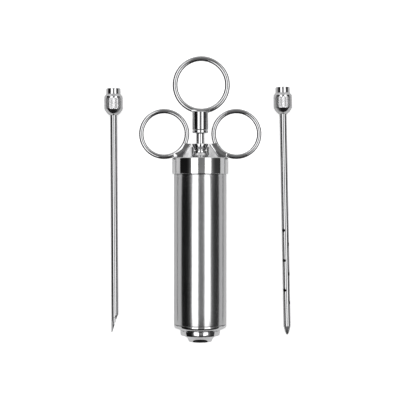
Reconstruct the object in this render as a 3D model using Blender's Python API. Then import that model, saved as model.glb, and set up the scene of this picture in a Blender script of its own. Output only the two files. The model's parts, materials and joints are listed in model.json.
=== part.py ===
"""Meat injector set laid on a table: a ring-grip syringe and its two needles.

The syringe lies along +Y, nose toward -Y and thumb ring toward +Y. Its parts are
modelled about one empty, whose local z runs from the nose to the thumb ring and
whose local y faces down at the table. Each needle has an empty of its own, whose
local z runs from the hub's open end to the tip and whose local y faces up.

Outlines are lists of (radius, height) or (x, height) in millimetres, where
height 0 lies just inside the barrel tube's lower end, or at the open end of a hub.
"""

import math

import bmesh
import bpy
from mathutils import Matrix, Vector

MM = 0.001
GAP = 0.3
FULL_TURN = 2.0 * math.pi

# Facets round a turned part: multiples of four, so that a flat faces the table.
WIDE_FACETS = 32
NARROW_FACETS = 20

# Barrel
BARREL_RADIUS = 15.9
BARREL_BORE = 14.8
BARREL_BASE = 2.2
BARREL_TOP = 100.4

# Rounded thread between barrel and cap, right-handed
THREAD_PITCH = 2.4
THREAD_DEPTH = 0.6
THREAD_FADE = 1.0
THREAD_START = 93.9
THREAD_ROW = 0.6
THREAD_CLEARANCE = 0.3

# Screw cap
CAP_RADIUS = 17.0
CAP_BASE = 93.05
CAP_CEILING = 102.0
CAP_TOP = 102.8
CAP_EDGE = 0.5
FLARE_RADIUS = 9.0
NECK_RADIUS = 3.9
NECK_BORE = 3.4
NECK_TOP = 107.0

# Gland on the neck, with its seal
GLAND_BASE = 107.3
GLAND_RADIUS = 5.0
GLAND_SHOULDER = 110.6
GLAND_TOP = 111.4
GLAND_GROOVE_RADIUS = 3.7
GLAND_GROOVE_BASE = 108.7
GLAND_GROOVE_TOP = 110.3

# Finger rings, one on each side of the neck
FINGER_RING_X = 21.9
FINGER_RING_HEIGHT = 117.3
FINGER_RING_RADIUS = 13.8
FINGER_RING_WIRE = 1.42
PAD_THICKNESS = 3.6
PAD_INNER_RADIUS = 12.7
WEB_THICKNESS = 2.4
WEB_TOP = 111.2
WEB_BASE = 103.2

# Plunger
ROD_RADIUS = 2.55
ROD_BORE = 2.85
ROD_BASE = 4.7
ROD_TOP = 126.0
THUMB_RING_X = 0.6
THUMB_RING_HEIGHT = 147.0
THUMB_RING_RADIUS = 15.85
THUMB_RING_WIRE = 1.55
STEM_RADIUS = 4.8
STEM_BASE = 119.8
STEM_SHOULDER = 130.2
STEM_TOP = 131.2
LOCK_RING_BASE = 117.8
LOCK_RING_TOP = 119.5

# Piston
PISTON_RADIUS = 14.5
PISTON_BASE = 9.4
PISTON_TOP = 18.4
PISTON_GROOVE_RADIUS = 12.9
PISTON_GROOVE_WIDTH = 2.0
PISTON_GROOVE_BASES = (11.0, 14.8)
PISTON_SEAL_RADIUS = 13.85
PISTON_SEAL_WIRE = 0.75
NUT_ACROSS_FLATS = 8.0

# Nose
NOSE_RIM = 1.9
NOSE_END = -8.5
SPIGOT_RADIUS = 14.4
SPIGOT_TOP = 5.4
SOCKET_RADIUS = 4.9
SOCKET_FLOOR = -3.9
NIPPLE_RADIUS = 3.0
NIPPLE_END = -8.0
NOSE_CHANNEL = 1.5

# Needles, measured from the hub's open end
HUB_NECK_RADIUS = 4.45
HUB_NECK_LENGTH = 3.7
HUB_GRIP_RADIUS = 5.8
HUB_GRIP_BASE = 5.7
HUB_GRIP_END = 12.8
HUB_LENGTH = 16.5
HUB_BORE = 3.3
HUB_BORE_DEPTH = 5.2
HUB_CHANNEL = 1.6
HUB_TUBE_SOCKET = 2.45
HUB_SOCKET_FLOOR = 9.2
TUBE_RADIUS = 2.2
TUBE_BORE = 1.7
TUBE_BASE = 9.5
BEVEL_HEEL = 139.6
BEVEL_TIP = 151.0
PERFORATED_TUBE_END = 147.5
POINT_END = 153.0
HOLE_RADIUS = 1.05
HOLE_ROWS = (
    (-35.0, (88.2, 106.8, 125.2)),
    (68.0, (96.8, 115.2, 133.0)),
    (205.0, (92.5, 111.0, 129.1)),
)

# Where the needles lie: open end beside the syringe, and how far each is turned
LEFT_NEEDLE_PLACE = (-53.45, 146.0)
LEFT_NEEDLE_TURN = math.radians(0.25)
RIGHT_NEEDLE_PLACE = (50.65, 146.8)
RIGHT_NEEDLE_TURN = math.radians(1.2)

# Finishes: base colour, metallic, roughness
POLISHED_STEEL = ((0.62, 0.62, 0.63, 1.0), 1.0, 0.06)
SATIN_STEEL = ((0.58, 0.58, 0.59, 1.0), 1.0, 0.22)
SILICONE = ((0.75, 0.75, 0.73, 1.0), 0.0, 0.55)
NYLON = ((0.86, 0.85, 0.80, 1.0), 0.0, 0.45)


def clear_scene():
    for obj in list(bpy.data.objects):
        bpy.data.objects.remove(obj, do_unlink=True)


def axis_empty(name, matrix):
    empty = bpy.data.objects.new(name, None)
    bpy.context.collection.objects.link(empty)
    empty.matrix_world = matrix
    return empty


def give_material(obj, finish):
    colour, metallic, roughness = finish
    material = bpy.data.materials.new(obj.name + "_finish")
    material.use_nodes = True
    shader = material.node_tree.nodes["Principled BSDF"]
    shader.inputs["Base Color"].default_value = colour
    shader.inputs["Metallic"].default_value = metallic
    shader.inputs["Roughness"].default_value = roughness
    obj.data.materials.clear()
    obj.data.materials.append(material)


def add_object(name, bm, parent, finish):
    bmesh.ops.recalc_face_normals(bm, faces=bm.faces)
    mesh = bpy.data.meshes.new(name)
    bm.to_mesh(mesh)
    bm.free()
    mesh.shade_smooth()
    mesh.set_sharp_from_angle(angle=math.radians(35.0))
    obj = bpy.data.objects.new(name, mesh)
    bpy.context.collection.objects.link(obj)
    obj.parent = parent
    if finish:
        give_material(obj, finish)
    return obj


def turned(name, outline, parent, finish=None, facets=NARROW_FACETS, reshape=None):
    """Spin an outline about z; one that starts on the axis is left open there.

    reshape(radius, angle, height) may move each point of the turned surface and
    gives back its new (radius, height).
    """
    bm = bmesh.new()
    verts = [bm.verts.new((radius * MM, 0.0, height * MM)) for radius, height in outline]
    for start, end in zip(verts, verts[1:]):
        bm.edges.new((start, end))
    if outline[0][0] > 0.0:
        bm.edges.new((verts[-1], verts[0]))
    half_facet = Matrix.Rotation(math.pi / facets, 3, "Z")
    bmesh.ops.rotate(bm, verts=verts, cent=(0.0, 0.0, 0.0), matrix=half_facet)
    bmesh.ops.spin(
        bm,
        geom=bm.verts[:] + bm.edges[:],
        cent=(0.0, 0.0, 0.0),
        axis=(0.0, 0.0, 1.0),
        angle=FULL_TURN,
        steps=facets,
    )
    bmesh.ops.remove_doubles(bm, verts=bm.verts, dist=0.001 * MM)
    if reshape:
        for vert in bm.verts:
            angle = math.atan2(vert.co.y, vert.co.x)
            radius, height = reshape(vert.co.xy.length / MM, angle, vert.co.z / MM)
            vert.co = Vector((math.cos(angle) * radius, math.sin(angle) * radius, height)) * MM
    return add_object(name, bm, parent, finish)


def plate(name, outline, thickness, parent):
    """A flat piece in the x-z plane, centred on it."""
    bm = bmesh.new()
    face = bm.faces.new([bm.verts.new((x * MM, -thickness / 2 * MM, z * MM)) for x, z in outline])
    extruded = bmesh.ops.extrude_face_region(bm, geom=[face])
    moved = [item for item in extruded["geom"] if isinstance(item, bmesh.types.BMVert)]
    bmesh.ops.translate(bm, verts=moved, vec=(0.0, thickness * MM, 0.0))
    return add_object(name, bm, parent, None)


def seal_ring(name, radius, wire, height, parent, facets=NARROW_FACETS):
    """An O-ring: a small circle spun about the axis."""
    outline = arc((radius, height), wire, wire, 0.0, 360.0, 6)[:-1]
    return turned(name, outline, parent, SILICONE, facets)


def upright_ring(name, centre, radius, wire, parent, finish):
    """A ring in the x-z plane, seen as a full circle from above the table."""
    bpy.ops.mesh.primitive_torus_add(
        major_segments=WIDE_FACETS,
        minor_segments=10,
        major_radius=radius * MM,
        minor_radius=wire * MM,
        location=(centre[0] * MM, 0.0, centre[1] * MM),
        rotation=(math.pi / 2, 0.0, 0.0),
    )
    ring = bpy.context.object
    ring.name = name
    ring.parent = parent
    ring.data.shade_smooth()
    give_material(ring, finish)
    return ring


def combine(target, tool, operation):
    tool.hide_render = True
    tool.display_type = "WIRE"
    modifier = target.modifiers.new(tool.name, "BOOLEAN")
    modifier.operation = operation
    modifier.solver = "EXACT"
    modifier.object = tool


def arc(centre, radius_across, radius_up, start, end, steps):
    """Points of an elliptic arc, its angles in degrees from the outward direction."""
    points = []
    for step in range(steps + 1):
        angle = math.radians(start + (end - start) * step / steps)
        across = centre[0] + radius_across * math.cos(angle)
        points.append((across, centre[1] + radius_up * math.sin(angle)))
    return points


def rows(radius, first, last):
    """A straight wall cut into rows fine enough to carry the thread."""
    count = round(abs(last - first) / THREAD_ROW)
    return [(radius, first + (last - first) * row / count) for row in range(count + 1)]


def thread_depth(angle, height, start, end):
    """How deep the thread cuts at one place, easing in above start and out below end."""
    weight = min(1.0, (height - start) / THREAD_FADE, (end - height) / THREAD_FADE)
    wave = 0.5 - 0.5 * math.cos(FULL_TURN * height / THREAD_PITCH - angle)
    return THREAD_DEPTH * max(0.0, weight) * wave


def make_barrel_tube(axis):
    outline = [(BARREL_BORE, BARREL_BASE), (BARREL_BORE, BARREL_TOP)]
    outline += rows(BARREL_RADIUS, BARREL_TOP, THREAD_START)
    outline += [(BARREL_RADIUS, BARREL_BASE)]

    def cut_thread(radius, angle, height):
        if radius < (BARREL_RADIUS + BARREL_BORE) / 2:
            return radius, height
        end = BARREL_TOP + THREAD_FADE
        return radius - thread_depth(angle, height, THREAD_START, end), height

    turned("barrel_tube", outline, axis, SATIN_STEEL, WIDE_FACETS, cut_thread)


def make_nose(axis):
    groove_radius = 13.2
    groove_base = 2.7
    groove_top = 4.2
    rim_round = 1.8
    rim_middle = 1.2
    outline = [
        (12.6, SPIGOT_TOP),
        (SPIGOT_RADIUS, SPIGOT_TOP),
        (SPIGOT_RADIUS, groove_top),
        (groove_radius, groove_top),
        (groove_radius, groove_base),
        (SPIGOT_RADIUS, groove_base),
        (SPIGOT_RADIUS, NOSE_RIM),
        (BARREL_RADIUS, NOSE_RIM),
    ]
    outline += arc((BARREL_RADIUS - rim_round, rim_middle), rim_round, rim_round, 0.0, -80.0, 5)
    outline += [(12.0, -1.6), (12.05, -3.0), (11.85, -4.5), (8.6, -5.9)]
    outline += arc((9.3, -7.2), 1.5, 1.5, 135.0, 180.0, 2)
    outline += [
        (7.8, NOSE_END + 0.3),
        (7.5, NOSE_END),
        (SOCKET_RADIUS + 0.2, NOSE_END),
        (SOCKET_RADIUS, NOSE_END + 0.2),
        (SOCKET_RADIUS, SOCKET_FLOOR),
        (NIPPLE_RADIUS, SOCKET_FLOOR),
        (NIPPLE_RADIUS, NIPPLE_END + 0.3),
        (NIPPLE_RADIUS - 0.3, NIPPLE_END),
        (NOSE_CHANNEL, NIPPLE_END),
        (NOSE_CHANNEL, -1.5),
        (5.5, -1.5),
    ]
    turned("nose_cap", outline, axis, POLISHED_STEEL, WIDE_FACETS)
    seal_ring("nose_o_ring", 14.0, 0.6, (groove_base + groove_top) / 2, axis, WIDE_FACETS)
    washer = [(3.25, -5.0), (4.65, -5.0), (4.65, -4.2), (3.25, -4.2)]
    turned("needle_washer", washer, axis, SILICONE)


def make_cap(axis):
    thread_radius = BARREL_RADIUS + THREAD_CLEARANCE
    thread_base = THREAD_START + THREAD_FADE
    outline = [(thread_radius, CAP_BASE), (CAP_RADIUS - 0.2, CAP_BASE), (CAP_RADIUS, CAP_BASE + 0.2)]
    outline += arc((CAP_RADIUS - CAP_EDGE, CAP_TOP - CAP_EDGE), CAP_EDGE, CAP_EDGE, 0.0, 90.0, 4)
    flare_width = FLARE_RADIUS - NECK_RADIUS
    flare_height = NECK_TOP - CAP_TOP
    outline += arc((FLARE_RADIUS, NECK_TOP), flare_width, flare_height, 270.0, 180.0, 6)
    outline += [(NECK_BORE, NECK_TOP), (NECK_BORE, CAP_CEILING), (thread_radius, CAP_CEILING)]
    outline += rows(thread_radius, BARREL_TOP, thread_base)

    def cut_thread(radius, angle, height):
        if abs(radius - thread_radius) > 0.01:
            return radius, height
        return radius - thread_depth(angle, height, thread_base, BARREL_TOP), height

    turned("cap_shell", outline, axis, POLISHED_STEEL, WIDE_FACETS, cut_thread)
    gasket = [(12.5, 100.7), (15.6, 100.7), (15.6, 101.7), (12.5, 101.7)]
    turned("cap_gasket", gasket, axis, SILICONE, WIDE_FACETS)


def make_gland(axis):
    foot_radius = 3.7
    bowl_centre = (1.6, GLAND_SHOULDER)
    bowl_height = GLAND_SHOULDER - GLAND_BASE
    outline = [(ROD_BORE, GLAND_BASE), (foot_radius, GLAND_BASE)]
    outline += arc(bowl_centre, GLAND_RADIUS - bowl_centre[0], bowl_height, -45.0, 0.0, 4)
    outline += [
        (GLAND_RADIUS, GLAND_TOP - 0.4),
        (GLAND_RADIUS - 0.4, GLAND_TOP),
        (ROD_BORE, GLAND_TOP),
        (ROD_BORE, GLAND_GROOVE_TOP),
        (GLAND_GROOVE_RADIUS, GLAND_GROOVE_TOP),
        (GLAND_GROOVE_RADIUS, GLAND_GROOVE_BASE),
        (ROD_BORE, GLAND_GROOVE_BASE),
    ]
    turned("rod_gland", outline, axis, POLISHED_STEEL)
    seal_ring("rod_o_ring", 3.12, 0.42, (GLAND_GROOVE_BASE + GLAND_GROOVE_TOP) / 2, axis)
    bush_bore = 2.8
    bush_radius = NECK_BORE - GAP
    flange_top = CAP_CEILING - GAP
    bush = [
        (bush_bore, flange_top - 0.7),
        (5.0, flange_top - 0.7),
        (5.0, flange_top),
        (bush_radius, flange_top),
        (bush_radius, NECK_TOP),
        (bush_bore, NECK_TOP),
    ]
    turned("rod_bush", bush, axis, NYLON)


def make_neck_clearance(axis):
    """Everything the finger rings' webs must stay clear of: the flare and the gland."""
    flare_width = FLARE_RADIUS - NECK_RADIUS - GAP
    flare_height = NECK_TOP - CAP_TOP - GAP
    outline = [(0.0, CAP_TOP - 1.0), (FLARE_RADIUS, CAP_TOP - 1.0)]
    outline += arc((FLARE_RADIUS, NECK_TOP), flare_width, flare_height, 270.0, 180.0, 6)
    bowl_centre = (1.9, GLAND_SHOULDER)
    bowl_height = GLAND_SHOULDER - GLAND_BASE
    outline += arc(bowl_centre, GLAND_RADIUS + GAP - bowl_centre[0], bowl_height, -45.0, 0.0, 4)
    outline += [(GLAND_RADIUS + GAP, GLAND_TOP + 1.0), (0.0, GLAND_TOP + 1.0)]
    return turned("neck_clearance", outline, axis)


def make_finger_ring(name, side, axis, clearance):
    """One cast ring with its pad and web; side is -1 on the left and 1 on the right."""
    centre = (side * FINGER_RING_X, FINGER_RING_HEIGHT)
    ring = upright_ring(name, centre, FINGER_RING_RADIUS, FINGER_RING_WIRE, axis, POLISHED_STEEL)
    pad = [(5.9, WEB_TOP), (8.2, WEB_TOP)]
    pad += arc((FINGER_RING_X, FINGER_RING_HEIGHT), PAD_INNER_RADIUS, PAD_INNER_RADIUS, 206.0, 246.0, 8)
    pad += [(15.9, WEB_BASE), (11.8, WEB_BASE)]
    web = [(4.0, WEB_TOP - 0.5), (7.0, WEB_TOP - 0.5), (12.5, WEB_BASE), (4.0, WEB_BASE)]
    for part_name, outline, thickness in (
        (name + "_pad", pad, PAD_THICKNESS),
        (name + "_web", web, WEB_THICKNESS),
    ):
        placed = [(side * x, height) for x, height in outline]
        combine(ring, plate(part_name, placed, thickness, axis), "UNION")
    combine(ring, clearance, "DIFFERENCE")


def make_plunger(axis):
    rod = [
        (0.0, ROD_BASE),
        (ROD_RADIUS - 0.3, ROD_BASE),
        (ROD_RADIUS, ROD_BASE + 0.3),
        (ROD_RADIUS, ROD_TOP),
        (0.0, ROD_TOP),
    ]
    turned("plunger_rod", rod, axis, POLISHED_STEEL)
    lock_ring = [
        (ROD_BORE, LOCK_RING_BASE),
        (STEM_RADIUS - 0.3, LOCK_RING_BASE),
        (STEM_RADIUS, LOCK_RING_BASE + 0.3),
        (STEM_RADIUS, LOCK_RING_TOP - 0.2),
        (STEM_RADIUS - 0.2, LOCK_RING_TOP),
        (ROD_BORE, LOCK_RING_TOP),
    ]
    turned("stem_lock_ring", lock_ring, axis, POLISHED_STEEL)


def make_thumb_ring(axis):
    centre = (THUMB_RING_X, THUMB_RING_HEIGHT)
    ring = upright_ring("thumb_ring", centre, THUMB_RING_RADIUS, THUMB_RING_WIRE, axis, POLISHED_STEEL)
    stem = [
        (0.0, ROD_TOP + GAP),
        (ROD_BORE, ROD_TOP + GAP),
        (ROD_BORE, STEM_BASE),
        (STEM_RADIUS - 0.2, STEM_BASE),
        (STEM_RADIUS, STEM_BASE + 0.2),
    ]
    crown_round = STEM_TOP - STEM_SHOULDER
    stem += arc((STEM_RADIUS - crown_round, STEM_SHOULDER), crown_round, crown_round, 0.0, 90.0, 3)
    stem += [(0.0, STEM_TOP)]
    combine(ring, turned("thumb_ring_stem", stem, axis), "UNION")

    # Fillets in the ring's plane, from the stem's sides to just inside the ring's outer edge.
    fillet_radius = 1.6
    reach = THUMB_RING_RADIUS + THUMB_RING_WIRE - 0.3 + fillet_radius
    outlines = []
    for side in (-1, 1):
        fillet_x = STEM_RADIUS - 0.2 + fillet_radius - side * THUMB_RING_X
        drop = math.sqrt(reach ** 2 - fillet_x ** 2)
        end_angle = math.degrees(math.atan2(drop, -fillet_x))
        fillet = arc((fillet_x, THUMB_RING_HEIGHT - drop), fillet_radius, fillet_radius, 180.0, end_angle, 3)
        fillet += [(5.6, THUMB_RING_HEIGHT - 15.0)]
        outlines.append([(side * x + THUMB_RING_X, height) for x, height in fillet])
    left, right = outlines
    saddle = plate("thumb_ring_saddle", right + left[::-1], 2 * THUMB_RING_WIRE - 0.6, axis)
    combine(ring, saddle, "UNION")


def make_piston(axis):
    outline = [
        (ROD_BORE, PISTON_BASE),
        (PISTON_RADIUS - 0.6, PISTON_BASE),
        (PISTON_RADIUS, PISTON_BASE + 0.6),
    ]
    for base in PISTON_GROOVE_BASES:
        top = base + PISTON_GROOVE_WIDTH
        outline += [(PISTON_RADIUS, base), (PISTON_GROOVE_RADIUS, base)]
        outline += [(PISTON_GROOVE_RADIUS, top), (PISTON_RADIUS, top)]
    outline += [
        (PISTON_RADIUS, PISTON_TOP - 0.6),
        (PISTON_RADIUS - 0.6, PISTON_TOP),
        (ROD_BORE, PISTON_TOP),
    ]
    turned("piston_body", outline, axis, NYLON, WIDE_FACETS)
    for place, base in zip(("front", "rear"), PISTON_GROOVE_BASES):
        middle = base + PISTON_GROOVE_WIDTH / 2
        name = "piston_o_ring_" + place
        seal_ring(name, PISTON_SEAL_RADIUS, PISTON_SEAL_WIRE, middle, axis, WIDE_FACETS)
    front = [(ROD_BORE, 8.3), (11.0, 8.3), (11.0, 9.1), (ROD_BORE, 9.1)]
    turned("piston_front_washer", front, axis, POLISHED_STEEL)
    rear = [(ROD_BORE, 18.7), (9.0, 18.7), (9.0, 19.7), (ROD_BORE, 19.7)]
    turned("piston_rear_washer", rear, axis, POLISHED_STEEL)


def make_piston_nut(axis):
    half_flat = NUT_ACROSS_FLATS / 2
    sixth = FULL_TURN / 6

    def make_hexagonal(radius, angle, height):
        if radius < half_flat - 0.1:
            return radius, height
        return radius / math.cos((angle + sixth / 2) % sixth - sixth / 2), height

    outline = [(ROD_BORE, 5.0), (half_flat, 5.0), (half_flat, 8.0), (ROD_BORE, 8.0)]
    turned("piston_nut", outline, axis, POLISHED_STEEL, NARROW_FACETS, make_hexagonal)


def make_hub(name, axis):
    outline = [
        (HUB_BORE, 0.0),
        (HUB_NECK_RADIUS - 0.2, 0.0),
        (HUB_NECK_RADIUS, 0.2),
        (HUB_NECK_RADIUS, HUB_NECK_LENGTH),
        (HUB_GRIP_RADIUS, HUB_GRIP_BASE),
        (HUB_GRIP_RADIUS, HUB_GRIP_END),
        (2.8, HUB_LENGTH),
        (HUB_TUBE_SOCKET, HUB_LENGTH),
        (HUB_TUBE_SOCKET, HUB_SOCKET_FLOOR),
        (HUB_CHANNEL, HUB_SOCKET_FLOOR),
        (HUB_CHANNEL, HUB_BORE_DEPTH),
        (HUB_BORE, HUB_BORE_DEPTH),
    ]
    turned(name, outline, axis, POLISHED_STEEL)


def tube_outline(end):
    return [(TUBE_BORE, TUBE_BASE), (TUBE_RADIUS, TUBE_BASE), (TUBE_RADIUS, end), (TUBE_BORE, end)]


def make_bevelled_needle(axis):
    make_hub("left_needle_hub", axis)

    def cut_bevel(radius, angle, height):
        """Hollow-ground: steep at the heel on +x, and long and thin at the tip on -x."""
        if height < BEVEL_HEEL:
            return radius, height
        across = (1.0 - radius * math.cos(angle) / TUBE_RADIUS) / 2
        return radius, BEVEL_HEEL + (BEVEL_TIP - BEVEL_HEEL) * across ** 2

    turned("left_needle_tube", tube_outline(BEVEL_TIP), axis, POLISHED_STEEL, reshape=cut_bevel)


def make_hole_cutter(axis):
    """Short pins standing out from the tube's axis, one for each side hole."""
    bm = bmesh.new()
    length = 3.0
    for azimuth, heights in HOLE_ROWS:
        angle = math.radians(azimuth)
        outward = Vector((math.sin(angle), math.cos(angle), 0.0))
        turn = outward.to_track_quat("Z", "X").to_matrix().to_4x4()
        for height in heights:
            centre = (outward * (0.3 + length / 2) + Vector((0.0, 0.0, height))) * MM
            bmesh.ops.create_cone(
                bm,
                cap_ends=True,
                segments=12,
                radius1=HOLE_RADIUS * MM,
                radius2=HOLE_RADIUS * MM,
                depth=length * MM,
                matrix=Matrix.Translation(centre) @ turn,
            )
    return add_object("side_hole_pins", bm, axis, None)


def make_perforated_needle(axis):
    make_hub("right_needle_hub", axis)
    tube = turned("right_needle_tube", tube_outline(PERFORATED_TUBE_END), axis, POLISHED_STEEL)
    combine(tube, make_hole_cutter(axis), "DIFFERENCE")
    plug_radius = TUBE_BORE - 0.25
    shoulder = PERFORATED_TUBE_END + GAP
    outline = [
        (0.0, shoulder - 4.5),
        (plug_radius - 0.2, shoulder - 4.5),
        (plug_radius, shoulder - 4.3),
        (plug_radius, shoulder),
        (TUBE_RADIUS, shoulder),
        (1.7, shoulder + 1.8),
        (1.3, shoulder + 3.4),
        (0.75, POINT_END - 0.5),
        (0.0, POINT_END),
    ]
    turned("right_needle_point", outline, axis, SATIN_STEEL)


def syringe_axis():
    """Tilted a little, so that the cap's rim and the nose's rim both rest on the table."""
    tilt = math.atan2(CAP_RADIUS - BARREL_RADIUS, CAP_BASE - NOSE_RIM)
    turn = Matrix.Rotation(tilt - math.pi / 2, 4, "X")
    lift = Matrix.Translation((0.0, 0.0, BARREL_RADIUS * MM))
    return axis_empty("syringe_axis", lift @ turn)


def needle_axis(name, place, turn, tube_end):
    """Lies on the grip's rim and on the tube's end, and points at -Y."""
    pitch = math.asin((HUB_GRIP_RADIUS - TUBE_RADIUS) / (tube_end - HUB_GRIP_END))
    along = Vector((
        math.sin(turn) * math.cos(pitch),
        -math.cos(turn) * math.cos(pitch),
        -math.sin(pitch),
    ))
    across = Vector((math.cos(turn), math.sin(turn), 0.0))
    frame = Matrix((across, along.cross(across), along)).transposed().to_4x4()
    height = HUB_GRIP_RADIUS * math.cos(pitch) + HUB_GRIP_END * math.sin(pitch)
    start = Vector((place[0], place[1], height)) * MM
    return axis_empty(name, Matrix.Translation(start) @ frame)


def settle_on_facets(axes):
    """Put the middle of the set's underside at the world origin."""
    bpy.context.view_layer.update()
    graph = bpy.context.evaluated_depsgraph_get()
    corners = []
    for obj in bpy.data.objects:
        if obj.type == "MESH" and not obj.hide_render:
            evaluated = obj.evaluated_get(graph)
            corners += [evaluated.matrix_world @ vert.co for vert in evaluated.data.vertices]
    low = Vector([min(corner[i] for corner in corners) for i in range(3)])
    high = Vector([max(corner[i] for corner in corners) for i in range(3)])
    shift = Vector((-(low.x + high.x) / 2, -(low.y + high.y) / 2, -low.z))
    for axis in axes:
        axis.location += shift


def main():
    clear_scene()

    syringe = syringe_axis()
    make_barrel_tube(syringe)
    make_nose(syringe)
    make_cap(syringe)
    make_gland(syringe)
    clearance = make_neck_clearance(syringe)
    make_finger_ring("left_finger_ring", -1, syringe, clearance)
    make_finger_ring("right_finger_ring", 1, syringe, clearance)
    make_plunger(syringe)
    make_thumb_ring(syringe)
    make_piston(syringe)
    make_piston_nut(syringe)

    bevel_middle = (BEVEL_HEEL + BEVEL_TIP) / 2
    left = needle_axis("left_needle_axis", LEFT_NEEDLE_PLACE, LEFT_NEEDLE_TURN, bevel_middle)
    make_bevelled_needle(left)
    right = needle_axis("right_needle_axis", RIGHT_NEEDLE_PLACE, RIGHT_NEEDLE_TURN, PERFORATED_TUBE_END)
    make_perforated_needle(right)

    settle_on_facets((syringe, left, right))


main()
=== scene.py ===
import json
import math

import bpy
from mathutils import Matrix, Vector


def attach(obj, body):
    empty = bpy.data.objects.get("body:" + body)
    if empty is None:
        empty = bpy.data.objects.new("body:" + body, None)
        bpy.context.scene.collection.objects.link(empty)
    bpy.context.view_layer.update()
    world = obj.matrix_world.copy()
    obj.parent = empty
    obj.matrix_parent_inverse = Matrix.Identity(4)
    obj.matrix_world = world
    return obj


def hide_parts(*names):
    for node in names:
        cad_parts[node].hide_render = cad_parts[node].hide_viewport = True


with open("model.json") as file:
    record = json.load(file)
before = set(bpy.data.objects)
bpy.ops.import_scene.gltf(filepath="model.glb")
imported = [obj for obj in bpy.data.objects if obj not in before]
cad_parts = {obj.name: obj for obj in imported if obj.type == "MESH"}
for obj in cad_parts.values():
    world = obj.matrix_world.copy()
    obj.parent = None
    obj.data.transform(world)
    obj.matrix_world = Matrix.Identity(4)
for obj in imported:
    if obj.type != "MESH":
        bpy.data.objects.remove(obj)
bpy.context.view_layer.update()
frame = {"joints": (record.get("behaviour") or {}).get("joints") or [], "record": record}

# Meat injector set laid on a table: a ring-grip syringe, a bevelled needle and a
# perforated needle, all in stainless steel, with silicone seals and a nylon piston.
# Turned pieces are drawn as outlines of (radius, height) in millimetres and spun about
# their own z axis. The syringe's heights start just inside the barrel's lower end, and a
# needle's at the hub's open end. Each finished piece is then laid along its real axis.

MM = 0.001
RECORD = frame["record"]

# Barrel and cap
BARREL_RADIUS = 15.9
BARREL_BORE = 14.8
BARREL_BASE = 2.2
BARREL_TOP = 100.4
THREAD_PITCH = 2.4
THREAD_DEPTH = 0.6
THREAD_FADE = 1.0
THREAD_START = 93.9
THREAD_CLEARANCE = 0.3
CAP_RADIUS = 17.0
CAP_BASE = 93.05
CAP_CEILING = 102.0
CAP_TOP = 102.8
FLARE_RADIUS = 9.0
NECK_RADIUS = 3.9
NECK_BORE = 3.4
NECK_TOP = 107.0

# Gland, rings and plunger
GLAND_BASE = 107.3
GLAND_BASE_RADIUS = 3.5
GLAND_RADIUS = 5.0
GLAND_TOP = 111.4
FINGER_RING_X = 21.9
FINGER_RING_HEIGHT = 117.3
FINGER_RING_RADIUS = 13.8
FINGER_RING_WIRE = 1.42
WIRE_FLATNESS = 0.72
PAD_THICKNESS = 3.2
PAD_SLOPE = 0.06
WEB_THICKNESS = 2.6
WEB_SLOPE = -0.13
LINK_THICKNESS = 0.8
ROD_RADIUS = 2.55
ROD_BORE = 2.85
ROD_BASE = 4.7
ROD_TOP = 126.0
THUMB_RING_X = 0.6
THUMB_RING_HEIGHT = 147.0
THUMB_RING_RADIUS = 15.85
THUMB_RING_WIRE = 1.55
STEM_RADIUS = 4.8
STEM_BASE = 119.8
STEM_SHOULDER = 130.2
LOCK_RING_BASE = 117.8
LOCK_RING_TOP = 119.5

# Nose
NOSE_RIM = 1.9
NOSE_END = -8.5
NOSE_FACE_RADIUS = 6.2
SOCKET_RADIUS = 4.9
SOCKET_FLOOR = -3.9
NIPPLE_RADIUS = 3.0
NIPPLE_END = -8.0
NOSE_CHANNEL = 1.5

# Needles
HUB_FACE_RADIUS = 3.75
HUB_NECK_RADIUS = 4.45
HUB_GRIP_RADIUS = 5.68
HUB_GRIP_BASE = 5.7
HUB_GRIP_END = 12.8
HUB_LENGTH = 16.5
HUB_BORE = 3.3
NEEDLE_PITCH = 0.8
TUBE_RADIUS = 2.2
TUBE_BORE = 1.7
TUBE_BASE = 9.5
BEVEL_HEEL = 139.6
BEVEL_TIP = 151.0
BEVEL_LIFT = 24.0
PERFORATED_TUBE_END = 147.5
POINT_END = 153.0
HOLE_RADIUS = 1.05
HOLE_ROWS = (
    (-35.0, (88.2, 106.8, 125.2)),
    (68.0, (96.8, 115.2, 133.0)),
    (205.0, (92.5, 111.0, 129.1)),
)

WIDE_SIDES = 128
NARROW_SIDES = 64
RING_SIDES = 256
KNURL_SIDES = 44
KNURL_SPACING = 0.79
KNURL_DEPTH = 0.065


# ---------------------------------------------------------------- places

def joint_axis(name):
    joint = next(joint for joint in frame["joints"] if joint["name"] == name)
    return Vector(joint["axis"]).normalized()


def mount(name):
    entry = next(entry for entry in RECORD["mounts"] if entry["name"] == name)
    return Vector(entry["pos_m"]), Vector(entry["axis"]).normalized()


def place_along(origin, across, along):
    """The matrix that lays a piece's own z along an axis, and its x across it."""
    turn = Matrix((across, along.cross(across), along)).transposed().to_4x4()
    return Matrix.Translation(origin) @ turn


def syringe_place():
    """Own z runs from nose to thumb ring, and own y faces down at the table."""
    along = joint_axis("plunger_slide")
    across = Vector((1.0, 0.0, 0.0))
    face, _ = mount("nose_face")
    origin = face - across * NOSE_FACE_RADIUS * MM - along * NOSE_END * MM
    return place_along(origin, across, along)


def needle_place(face_name):
    """Own z runs from the hub's open end to the tip, and own y faces up."""
    face, outward = mount(face_name)
    along = -outward
    across = Vector((-along.y, along.x, 0.0)).normalized()
    return place_along(face - across * HUB_FACE_RADIUS * MM, across, along)


# ---------------------------------------------------------------- modelling

def deselect_all():
    bpy.ops.object.select_all(action="DESELECT")


def select_only(piece):
    deselect_all()
    piece.select_set(True)
    bpy.context.view_layer.objects.active = piece


def apply_modifier(piece, kind, **settings):
    select_only(piece)
    modifier = piece.modifiers.new(kind.title(), kind)
    for name, value in settings.items():
        setattr(modifier, name, value)
    bpy.ops.object.modifier_apply(modifier=modifier.name)


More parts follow.
